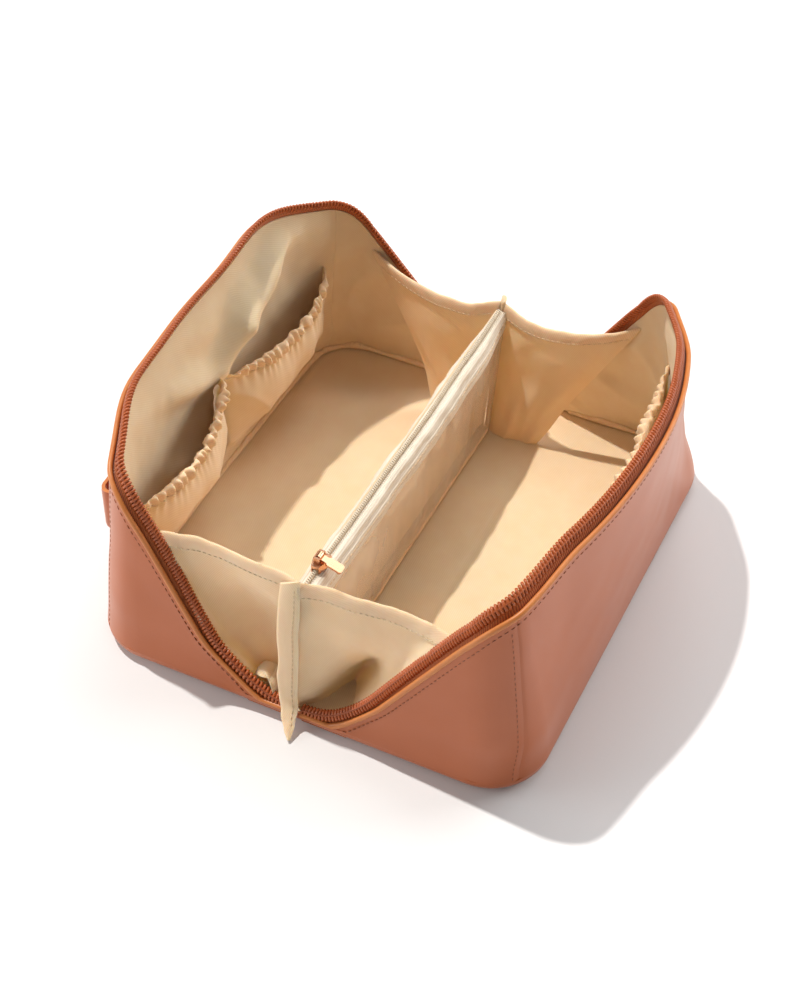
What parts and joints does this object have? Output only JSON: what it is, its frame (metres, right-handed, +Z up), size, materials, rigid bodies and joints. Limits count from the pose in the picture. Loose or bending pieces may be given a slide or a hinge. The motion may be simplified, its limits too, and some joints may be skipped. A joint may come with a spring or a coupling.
{
  "type": "leather jewellery case",
  "caption": "Soft leather case that zips open wide on a flat base, with a twill lining, gathered wall pockets and a zipped clear pouch down the middle.",
  "frame": {"origin": "middle of the flat face that the case stands on", "axes": "+Z up, +Y along the divider from the front to the rear, +X from the left wall to the right wall"},
  "size_m": [0.2582, 0.2824, 0.1295],
  "materials": {
    "leather": "smooth satin",
    "leather_edge": "turned edge, satin",
    "board": "matt",
    "twill": "woven twill",
    "zip_tape": "woven",
    "zip_coil": "moulded",
    "clear_film": "clear, glossy",
    "cream_tape": "woven",
    "cream_coil": "moulded",
    "rose_metal": "polished rose gold plate"
  },
  "bodies": {
    "base": {"base_panel": "leather", "base_board": "board", "floor_lining": "twill", "front_left_end_panel": "leather", "front_left_end_lining": "twill", "front_left_gusset": "twill", "front_right_end_panel": "leather", "front_right_end_lining": "twill", "front_right_gusset": "twill", "rear_left_end_panel": "leather", "rear_left_end_lining": "twill", "rear_left_gusset": "twill", "rear_right_end_panel": "leather", "rear_right_end_lining": "twill", "rear_right_gusset": "twill", "divider_fabric_panel": "twill", "divider_clear_panel": "clear_film", "divider_front_seam": "twill", "divider_rear_seam": "twill", "divider_base_binding": "twill", "divider_left_tape": "cream_tape", "divider_right_tape": "cream_tape", "divider_zip_coil": "cream_coil", "main_zip_slider": "rose_metal"},
    "left_wall": {"left_wall_panel": "leather", "left_wall_stiffener": "board", "left_wall_lining": "twill", "left_rim_edging": "leather_edge", "left_zip_tape": "zip_tape", "left_zip_coil": "zip_coil", "left_front_pocket": "twill", "left_front_pocket_hem": "twill", "left_rear_pocket": "twill", "left_rear_pocket_hem": "twill", "carry_strap": "leather"},
    "right_wall": {"right_wall_panel": "leather", "right_wall_stiffener": "board", "right_wall_lining": "twill", "right_rim_edging": "leather_edge", "right_zip_tape": "zip_tape", "right_zip_coil": "zip_coil", "right_pocket": "twill", "right_pocket_hem": "twill"},
    "divider_slider": {"divider_slider": "rose_metal"},
    "divider_pull": {"divider_pull": "rose_metal"},
    "main_zip_pull": {"main_zip_pull": "rose_metal"}
  },
  "joints": [
    {"name": "left_wall_fold", "type": "hinge", "parent": "base", "child": "left_wall", "pos_m": [-0.104, 0, 0.008], "axis": [0, 1, 0], "range_deg": [0, 50], "deforming": ["front_left_end_panel", "front_left_end_lining", "front_left_gusset", "rear_left_end_panel", "rear_left_end_lining", "rear_left_gusset", "left_rim_edging", "left_zip_tape", "left_zip_coil"]},
    {"name": "right_wall_fold", "type": "hinge", "parent": "base", "child": "right_wall", "pos_m": [0.104, 0, 0.008], "axis": [0, -1, 0], "range_deg": [0, 50], "deforming": ["front_right_end_panel", "front_right_end_lining", "front_right_gusset", "rear_right_end_panel", "rear_right_end_lining", "rear_right_gusset", "right_rim_edging", "right_zip_tape", "right_zip_coil"]},
    {"name": "divider_slider_run", "type": "slide", "parent": "base", "child": "divider_slider", "axis": [0, 1, 0], "range_m": [0, 0.2]},
    {"name": "divider_pull_swing", "type": "hinge", "parent": "divider_slider", "child": "divider_pull", "pos_m": [0, -0.1, 0.0881], "axis": [0, -1, 0], "range_deg": [0, 220]},
    {"name": "main_pull_swing", "type": "hinge", "parent": "base", "child": "main_zip_pull", "pos_m": [0, 0.13662, 0.0134], "axis": [1, 0, 0], "range_deg": [0, 150]}
  ]
}
